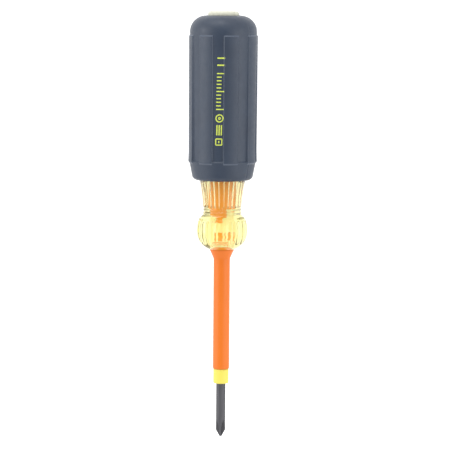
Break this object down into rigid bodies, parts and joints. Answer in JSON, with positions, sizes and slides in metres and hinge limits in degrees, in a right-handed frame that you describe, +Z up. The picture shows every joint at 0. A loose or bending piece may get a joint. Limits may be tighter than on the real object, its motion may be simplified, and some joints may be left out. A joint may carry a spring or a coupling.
{
  "type": "insulated screwdriver",
  "caption": "Small insulated cross-tip screwdriver: dark steel blade, orange-over-yellow insulated shank, clear amber handle core and ribbed blue-grey cushion grip.",
  "frame": {"origin": "under the middle of the tool's length, on the surface that the tool lies on", "axes": "+X along the tool's axis towards the tip, +Z up from the surface, +Y across"},
  "size_m": [0.1358, 0.0214, 0.0215],
  "materials": {
    "dark_steel": "black oxide, satin",
    "yellow_insulation": "satin",
    "orange_insulation": "satin",
    "amber_core": "clear, polished",
    "grip_rubber": "satin, fine grain"
  },
  "bodies": {
    "root": {"steel_shank": "dark_steel", "inner_insulation": "yellow_insulation", "outer_insulation": "orange_insulation", "handle_core": "amber_core", "cushion_grip": "grip_rubber"}
  },
  "joints": []
}
